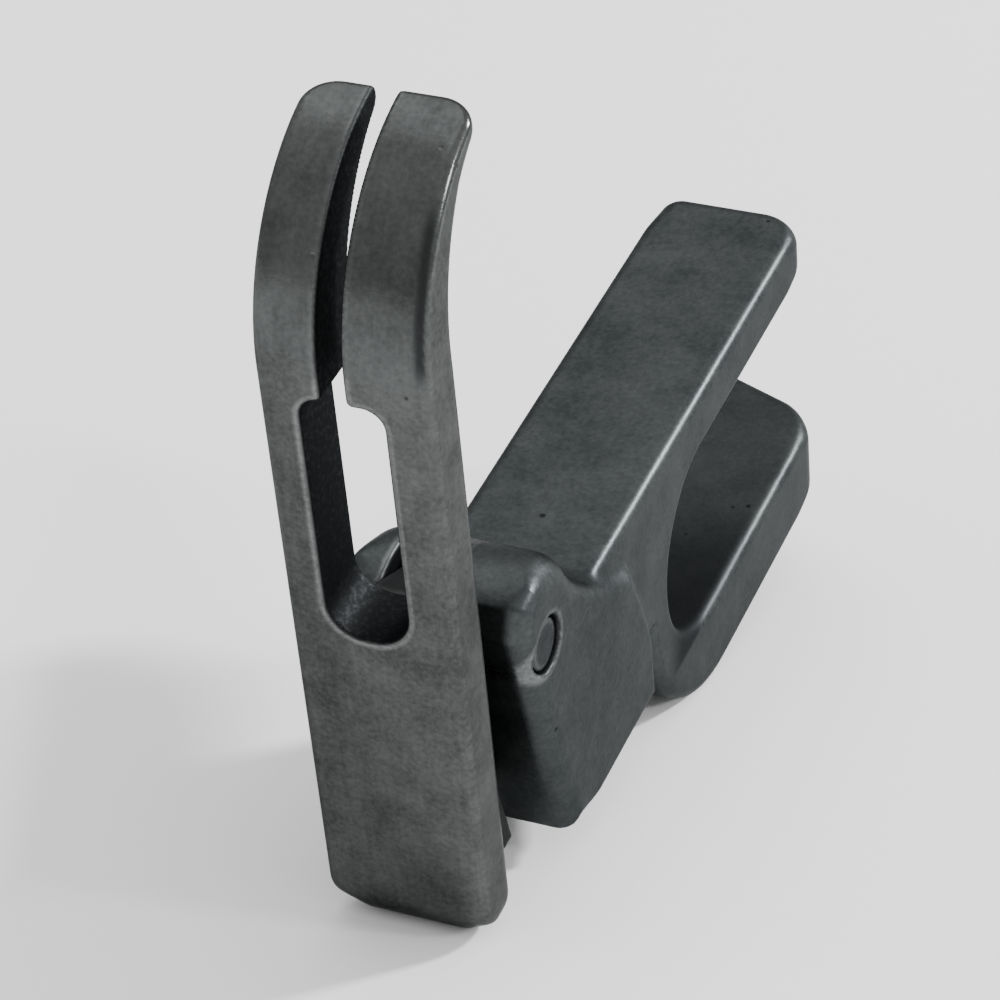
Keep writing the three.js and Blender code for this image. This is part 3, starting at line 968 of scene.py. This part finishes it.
@dataclass
class Shank:
    """The fork that takes the presser bar's screw, and the clevis block at its lower end."""

    hinge: Hinge
    width: float = 6.25
    plate_y: float = 2.5
    plate_thickness: float = 2.6
    plate_top: float = 35.95
    left_corner: float = 1.0
    right_corner: float = 1.8
    gap: float = 8.1
    gap_floor: float = 18.8
    arm_thickness: float = 3.85
    arm_left: float = 39.1
    arm_right: float = 36.6
    back_radius: float = 7.2
    back_z: float = 24.05
    edge: float = 0.5
    top_edge: float = 0.95
    top_blend: tuple[float, float] = (-3.0, -0.5)
    fork_join: float = 0.55
    block_half: float = 3.6
    block_top: float = 15.7
    block_back: float = 11.55
    block_corner: float = 0.5
    block_edge: float = 0.38
    under_edge: float = 0.95
    nose_radius: float = 3.2
    nose_edge: float = 1.3
    nose_facet: float = 0.8
    notch_radius: float = 9.5
    notch_bearing: float = math.radians(116.5)
    cheek_tip_y: float = 4.5
    wall: float = 0.55
    slope: float = math.radians(14.3)
    mouth_z: float = 7.3
    eye_gap: float = 0.25
    roof_z: float = 10.2
    roof_y: float = 5.2
    roof_bearing: float = math.radians(80)
    slot_lip: float = 0.15
    bore_lip: float = 0.14
    bottom_z: float = 2.5
    beyond: float = 2.0
    # Painted shade on the arm's inner side: the least, and how much more low in the gap.
    arm_shade: tuple[float, float] = (0.3, 0.55)
    step: float = 0.12

    def underside(self, y: float) -> float:
        """Height of the block's underside."""
        reach = self.hinge.pin_radius + self.wall
        return self.hinge.z + (y - self.hinge.y) * math.tan(self.slope) - reach / math.cos(self.slope)

    def fork_outline(self) -> Outline:
        """Side view of the two prongs and the round back, past the heights where they end."""
        front, inner = self.plate_y, self.plate_y + self.plate_thickness
        outer = inner + self.gap
        back = outer + self.arm_thickness
        high = self.arm_left + self.beyond
        start = self.block_back - self.beyond
        meet = math.acos((start - (back - self.back_radius)) / self.back_radius)
        radius = self.gap / 2
        low = self.hinge.z + self.nose_radius
        outline = Outline(FINE_ARC_DEG).to(front, low).to(start, low)
        outline.arc(back - self.back_radius, self.back_z, self.back_radius, -meet, 0)
        outline.to(back, high).to(outer, high)
        outline.arc(inner + radius, self.gap_floor + radius, radius, 0, -math.pi)
        return outline.to(inner, high).to(front, high)

    def block_outline(self) -> Outline:
        """Side view of the block: nose, notch, cheek tip and back."""
        hinge = self.hinge
        notch = polar(hinge.y, hinge.z, self.nose_radius + self.notch_radius, self.notch_bearing)
        tip_bearing = -math.acos((self.cheek_tip_y - notch[0]) / self.notch_radius)
        tip = polar(*notch, self.notch_radius, tip_bearing)
        reach = hinge.pin_radius + self.wall
        nose_end = self.slope - math.pi / 2 - math.acos(reach / self.nose_radius)
        facet = polar(hinge.y, hinge.z, self.nose_radius, nose_end)[0] + self.nose_facet
        corner, back = self.block_back - self.block_corner, self.block_back
        outline = Outline(FINE_ARC_DEG).to(corner, self.underside(corner))
        outline.bend((back, self.underside(back)), (back, self.underside(corner) + self.block_corner))
        outline.to(back, self.block_top).to((tip[0] + 2 * back) / 3, self.block_top)
        outline.bend(((tip[0] + back) / 2, self.block_top), tip)
        outline.arc(*notch, self.notch_radius, tip_bearing, self.notch_bearing - math.pi)
        end = 2 * math.pi + nose_end - self.nose_facet / self.nose_radius
        outline.arc(hinge.y, hinge.z, self.nose_radius, self.notch_bearing, end)
        return outline.to(facet, self.underside(facet))

    def clevis_outline(self) -> Outline:
        """Side view of the slot between the cheeks."""
        hinge = self.hinge
        eye = hinge.eye + self.eye_gap
        lip_z = self.mouth_z - hinge.z
        lip = math.atan2(lip_z, -math.sqrt(eye * eye - lip_z**2))
        front = hinge.y - self.nose_radius - self.beyond
        back = self.block_back + self.beyond
        outline = Outline(FINE_ARC_DEG).to(front, 0).to(back, 0)
        outline.to(back, self.roof_z).to(self.roof_y, self.roof_z)
        return outline.arc(hinge.y, hinge.z, eye, self.roof_bearing, lip).to(front, self.mouth_z)

    def fork(self, x: Array, y: Array, z: Array) -> Array:
        """Plate, gap, arm and round back.

        Args:
            x, y, z: Places in the upright frame.

        Returns:
            The fork's field.
        """
        half = self.width / 2
        fall = (self.arm_left - self.arm_right) / self.width
        arm_top = (z - self.arm_right - (half - x) * fall) / math.hypot(1, fall)
        middle = self.plate_y + self.plate_thickness + self.gap / 2
        top = np.where(y < middle, z - self.plate_top, arm_top)
        corner = np.where(x < 0, self.left_corner, self.right_corner)
        front_view = cut_to(np.abs(x) - half, top, corner)
        side_view = self.fork_outline().distance(y, z)
        radius = self.edge + (self.top_edge - self.edge) * ramp(top, *self.top_blend)
        return cut_to(front_view, side_view, radius)

    def block(self, x: Array, y: Array, z: Array) -> Array:
        """The clevis block, its edge softest round the nose.

        Args:
            x, y, z: Places in the upright frame.

        Returns:
            The block's field.
        """
        nose = ramp(-y, -3.2, -0.4) * ramp(z, self.hinge.z - 1.5, self.hinge.z + 1.0)
        over = z - self.hinge.z - (y - self.hinge.y) * math.tan(self.slope)
        under = ramp(-over, -1.0, 1.0)
        radius = self.block_edge + (self.nose_edge - self.block_edge) * nose
        radius = np.maximum(radius, self.block_edge + (self.under_edge - self.block_edge) * under)
        return cut_to(np.abs(x) - self.block_half, self.block_outline().distance(y, z), radius)

    def metal(self, x: Array, y: Array, z: Array) -> Array:
        """The whole shank.

        Args:
            x, y, z: Places in the upright frame.

        Returns:
            The shank's field.
        """
        hinge = self.hinge
        solid = join(self.fork(x, y, z), self.block(x, y, z), self.fork_join)
        across = np.abs(x - hinge.tongue_offset) - hinge.tongue_width / 2 - hinge.side_gap
        slot = np.maximum(across, self.clevis_outline().distance(y, z))
        solid = carve(solid, slot, self.slot_lip)
        return carve(solid, hinge.distance(y, z) - hinge.pin_radius - hinge.cheek_fit, self.bore_lip)

    def black_and_shade(self, x: Array, y: Array, z: Array) -> Array:
        """Painted shade: black in the clevis slot and the bore, and some on the inner side of the arm, more
        of it low in the gap.

        Args:
            x, y, z: Places in the upright frame.

        Returns:
            How black each point is, from 0 to 1.
        """
        hinge = self.hinge
        across = np.abs(x - hinge.tongue_offset) - hinge.tongue_width / 2 - hinge.side_gap
        # Painted shade deep in the clevis slot and the bore.
        slot = ramp(-np.maximum(across, self.clevis_outline().distance(y, z)), -0.1, 0.0)
        bore = ramp(-hinge.distance(y, z) + hinge.pin_radius + hinge.cheek_fit, -0.12, 0.0)
        # Painted shade on the inner side of the arm, darkest low in the gap.
        wall = self.plate_y + self.plate_thickness + self.gap
        arm = ramp(y, wall - self.gap / 2, wall) * ramp(-y, -wall - 0.3, -wall)
        least, more = self.arm_shade
        depth = least + more * ramp(-z, -self.gap_floor - 11, -self.gap_floor - 3)
        arm = depth * arm * ramp(z, self.gap_floor - 1, self.gap_floor + 1)
        return np.clip(slot + bore + arm, 0, 1)

    def build(self, setting: Setting) -> bpy.types.Object:
        """Skins and dresses the shank."""
        back = self.plate_y + self.plate_thickness + self.gap + self.arm_thickness
        low = (-self.block_half, self.hinge.y - self.nose_radius, self.bottom_z)
        high = (self.block_half, back, self.arm_left)
        layers = {Layer.OXIDE_AND_SHADE: self.black_and_shade}
        mesh = Skin(self.step).mesh("shank_finished", self.metal, low, high, setting, layers)
        return place(mesh, SHANK_STEEL, Body.SHANK, "shank", setting)


@dataclass
class HingePin:
    """The pressed-in pin, its ends chamfered and a little below the cheeks."""

    hinge: Hinge
    block_half: float = 3.6
    chamfer: float = 0.16
    dimple: float = 0.07
    dimple_blend: tuple[float, float] = (0.1, 0.75)
    step: float = 0.09

    def metal(self, x: Array, y: Array, z: Array) -> Array:
        """A bar with soft rims and a shallow turned dimple in each end."""
        reach = self.hinge.distance(y, z)
        hollow = self.dimple * (1 - ramp(reach, *self.dimple_blend))
        end = np.abs(x) - (self.block_half - self.hinge.sink - hollow)
        return cut_to(reach - self.hinge.pin_radius, end, self.chamfer)

    def build(self, setting: Setting) -> bpy.types.Object:
        """Skins and dresses the pin."""
        hinge = self.hinge
        low = (-self.block_half, hinge.y - hinge.pin_radius, hinge.z - hinge.pin_radius)
        high = (self.block_half, hinge.y + hinge.pin_radius, hinge.z + hinge.pin_radius)
        mesh = Skin(self.step).mesh("hinge_pin_finished", self.metal, low, high, setting)
        return place(mesh, PIN_STEEL, Body.SHANK, "hinge_pin", setting)


@dataclass
class LeafSpring:
    """The bowed strip between the roof of the clevis slot and the ridge of the tongue."""

    hinge: Hinge
    half: float = 1.1
    thickness: float = 0.25
    front_y: float = 5.6
    back_y: float = 10.6
    end_z: float = 10.08
    belly_z: float = 8.9
    corner: float = 0.4
    edge: float = 0.08
    step: float = 0.06

    def metal(self, x: Array, y: Array, z: Array) -> Array:
        """A strip that dips in the middle.

        Args:
            x, y, z: Places in the upright frame.

        Returns:
            The spring's field.
        """
        middle, reach = (self.front_y + self.back_y) / 2, (self.back_y - self.front_y) / 2
        line = self.belly_z + (self.end_z - self.belly_z) * ((y - middle) / reach) ** 2
        slope = 2 * (self.end_z - self.belly_z) * (y - middle) / reach**2
        sheet = np.abs(z - line + self.thickness / 2) / np.hypot(1, slope) - self.thickness / 2
        across = np.abs(x - self.hinge.tongue_offset) - self.half
        plan = cut_to(across, np.abs(y - middle) - reach, self.corner)
        return cut_to(plan, sheet, self.edge)

    def build(self, setting: Setting) -> bpy.types.Object:
        """Skins and dresses the spring."""
        left, right = self.hinge.tongue_offset - self.half, self.hinge.tongue_offset + self.half
        low = (left, self.front_y, self.belly_z - self.thickness)
        high = (right, self.back_y, self.end_z)
        mesh = Skin(self.step).mesh("hinge_spring_finished", self.metal, low, high, setting)
        return place(mesh, SPRING_STEEL, Body.SHANK, "hinge_spring", setting)


# ---- studio ----


@dataclass
class Studio:
    """Camera, pale floor and soft lights."""

    setting: Setting
    eye: Triple = (47.09, -87.86, -92.48)
    right: Triple = (0.922, 0.077, 0.379)
    forward: Triple = (-0.342, 0.622, 0.705)
    lens: float = 137.1
    sensor: float = 36.0
    near_clip: float = 0.005
    floor_reach: float = 3.0
    floor_white: float = 0.9
    floor_roughness: float = 0.9
    sky_level: float = 1.12
    sky_way: Triple = (0.3, 0.2, 0.9)
    sky_stretch: tuple[float, float] = (-0.4, 1.0)
    sky_shares: tuple[float, float] = (0.75, 1.15)

    def camera(self) -> None:
        """Stands the camera where the foot is seen from its sole and toes."""
        turn = self.setting.turn()
        ahead = (turn @ Vector(self.forward)).normalized()
        side = turn @ Vector(self.right)
        side = (side - ahead * side.dot(ahead)).normalized()
        above = side.cross(ahead)
        data = bpy.data.cameras.new("camera")
        data.lens = self.lens
        data.sensor_width = self.sensor
        data.clip_start = self.near_clip
        camera = bpy.data.objects.new("camera", data)
        low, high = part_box("hinge_pin")
        spot = (low + high) / 2 + turn @ Vector(self.eye) * MM
        axes = Matrix((side, above, -ahead)).transposed().to_4x4()
        camera.matrix_world = Matrix.Translation(spot) @ axes
        bpy.context.scene.collection.objects.link(camera)
        bpy.context.scene.camera = camera

    def light(self, name: str, spot: Triple, size: float, power: float) -> None:
        """Adds a soft white square light that looks at the foot.

        Args:
            name: Name of the light.
            spot: Where it stands, in metres from the middle of the foot.
            size: Side of the square, in metres.
            power: Power in watts.
        """
        data = bpy.data.lights.new(name, "AREA")
        data.size = size
        data.energy = power
        lamp = bpy.data.objects.new(name, data)
        low, high = CAD_BOUNDS
        middle = (Vector(low) + Vector(high)) / 2
        lamp.location = middle + Vector(spot)
        lamp.rotation_euler = (middle - lamp.location).to_track_quat("-Z", "Y").to_euler()
        bpy.context.scene.collection.objects.link(lamp)

    def floor(self) -> None:
        """Lays the pale floor."""
        mesh = bpy.data.meshes.new("floor")
        reach, white = self.floor_reach, self.floor_white
        corners = [(-reach, -reach, 0), (reach, -reach, 0), (reach, reach, 0), (-reach, reach, 0)]
        mesh.from_pydata(corners, [], [(0, 1, 2, 3)])
        floor = bpy.data.objects.new("floor", mesh)
        paint = bpy.data.materials.new("pale_floor")
        paint.use_nodes = True
        shader = paint.node_tree.nodes["Principled BSDF"]
        shader.inputs["Base Color"].default_value = (white, white, white, 1)
        shader.inputs["Roughness"].default_value = self.floor_roughness
        mesh.materials.append(paint)
        bpy.context.scene.collection.objects.link(floor)

    def sky(self) -> None:
        """Fills the room with white light, brightest overhead."""
        world = bpy.data.worlds.new("room")
        world.use_nodes = True
        nodes = Nodes(world.node_tree)
        source = nodes.tree.nodes.new("ShaderNodeTexCoord")
        facing = nodes.tree.nodes.new("ShaderNodeVectorMath")
        facing.operation = "DOT_PRODUCT"
        nodes.feed(facing.inputs[0], source.outputs["Generated"])
        nodes.feed(facing.inputs[1], Vector(self.sky_way).normalized())
        level = nodes.span(facing.outputs["Value"], *self.sky_shares, *self.sky_stretch)
        background = nodes.tree.nodes["Background"]
        nodes.feed(background.inputs["Color"], (1, 1, 1, 1))
        nodes.feed(background.inputs["Strength"], nodes.times(level, self.sky_level))
        bpy.context.scene.world = world

    def build(self) -> None:
        """Sets up camera, floor and lights."""
        self.camera()
        self.floor()
        self.sky()
        self.light("overhead", spot=(-0.1, 0.1, 0.5), size=0.4, power=0.5)
        self.light("edge", spot=(0.36, 0.36, 0.30), size=0.06, power=5.0)
        self.light("toe_edge", spot=(0.5, 0.0, 0.27), size=0.08, power=1.2)


def main() -> None:
    """Builds the studio and the foot's pieces."""
    logging.basicConfig(level=logging.INFO, format="%(name)s: %(message)s")
    hinge = Hinge()
    setting = Setting(hinge.y, hinge.z)
    Studio(setting).build()
    shank = Shank(hinge)
    for piece in (shank, Sole(hinge, underside=shank.underside), HingePin(hinge), LeafSpring(hinge)):
        piece.build(setting)


if __name__ == "__main__":
    main()
